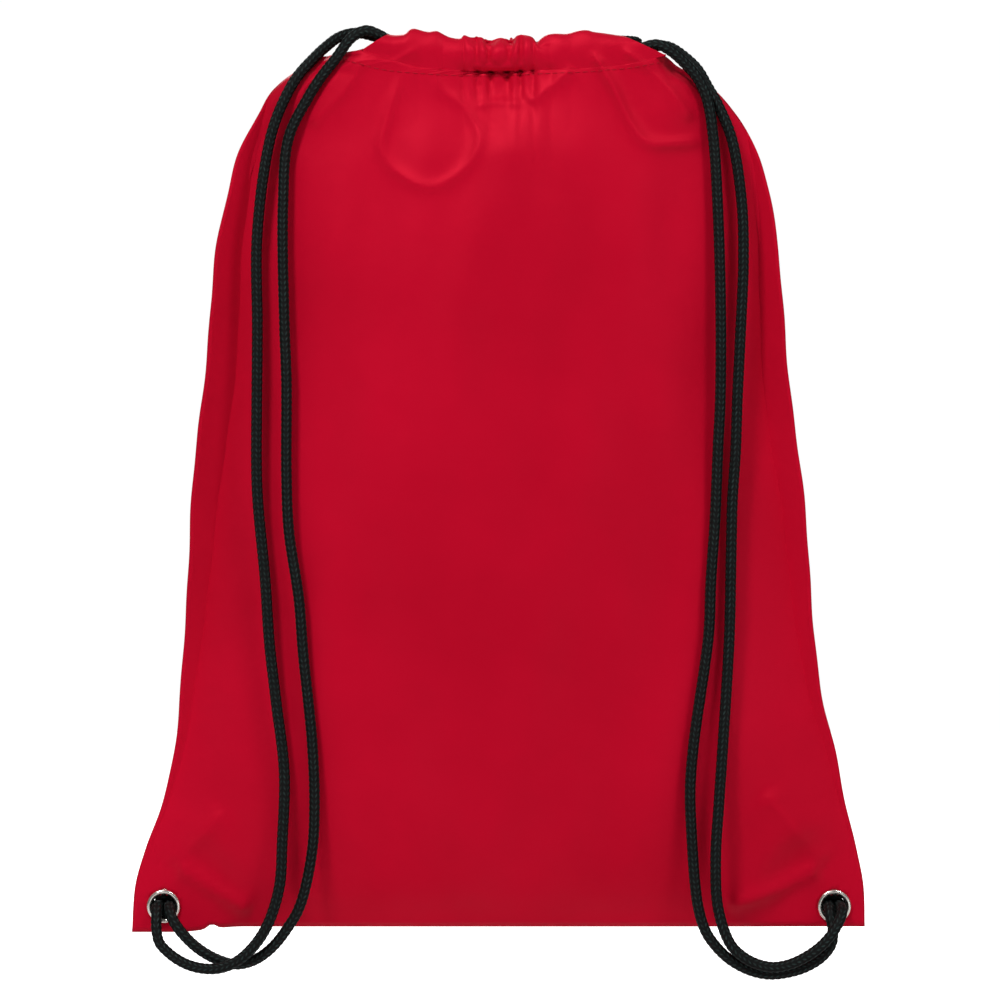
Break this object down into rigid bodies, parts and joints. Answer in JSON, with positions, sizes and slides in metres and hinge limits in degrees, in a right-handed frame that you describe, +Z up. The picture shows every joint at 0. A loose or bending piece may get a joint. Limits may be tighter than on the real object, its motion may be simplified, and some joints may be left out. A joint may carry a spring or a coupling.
{
  "type": "drawstring backpack",
  "caption": "Fabric drawstring backpack with a gathered mouth and cord shoulder straps that end in corner eyelets.",
  "frame": {"origin": "hang point in the middle of the gathered mouth, level with the top of the casings", "axes": "+Z up, front of the bag faces -Y, +X to the right seen from the front"},
  "size_m": [0.3395, 0.0552, 0.4398],
  "materials": {
    "fabric": "red woven polyester with a soft satin sheen",
    "cord": "braided black-green polyester cord",
    "eyelet": "polished nickel plate"
  },
  "bodies": {
    "bag": {"front_panel": "fabric", "back_panel": "fabric", "front_casing": "fabric", "back_casing": "fabric", "left_side_seam": "fabric", "right_side_seam": "fabric", "bottom_seam": "fabric", "left_eyelet": "eyelet", "left_eyelet_washer": "eyelet", "right_eyelet": "eyelet", "right_eyelet_washer": "eyelet", "left_cord_casing_loop": "cord", "left_front_strand_upper": "cord", "left_back_strand_upper": "cord", "left_cord_knot": "cord", "right_cord_casing_loop": "cord", "right_front_strand_upper": "cord", "right_back_strand_upper": "cord", "right_cord_knot": "cord"},
    "left_strap": {"left_front_strand_lower": "cord", "left_back_strand_lower": "cord"},
    "right_strap": {"right_front_strand_lower": "cord", "right_back_strand_lower": "cord"}
  },
  "joints": [
    {"name": "left_strap_swing", "type": "hinge", "parent": "bag", "child": "left_strap", "pos_m": [-0.111, -0.0185, -0.216], "axis": [-0.2396, 0.0441, -0.9699], "range_deg": [0, 100]},
    {"name": "right_strap_swing", "type": "hinge", "parent": "bag", "child": "right_strap", "pos_m": [0.1075, -0.0187, -0.216], "axis": [-0.2574, -0.0426, 0.9654], "range_deg": [0, 100]}
  ]
}
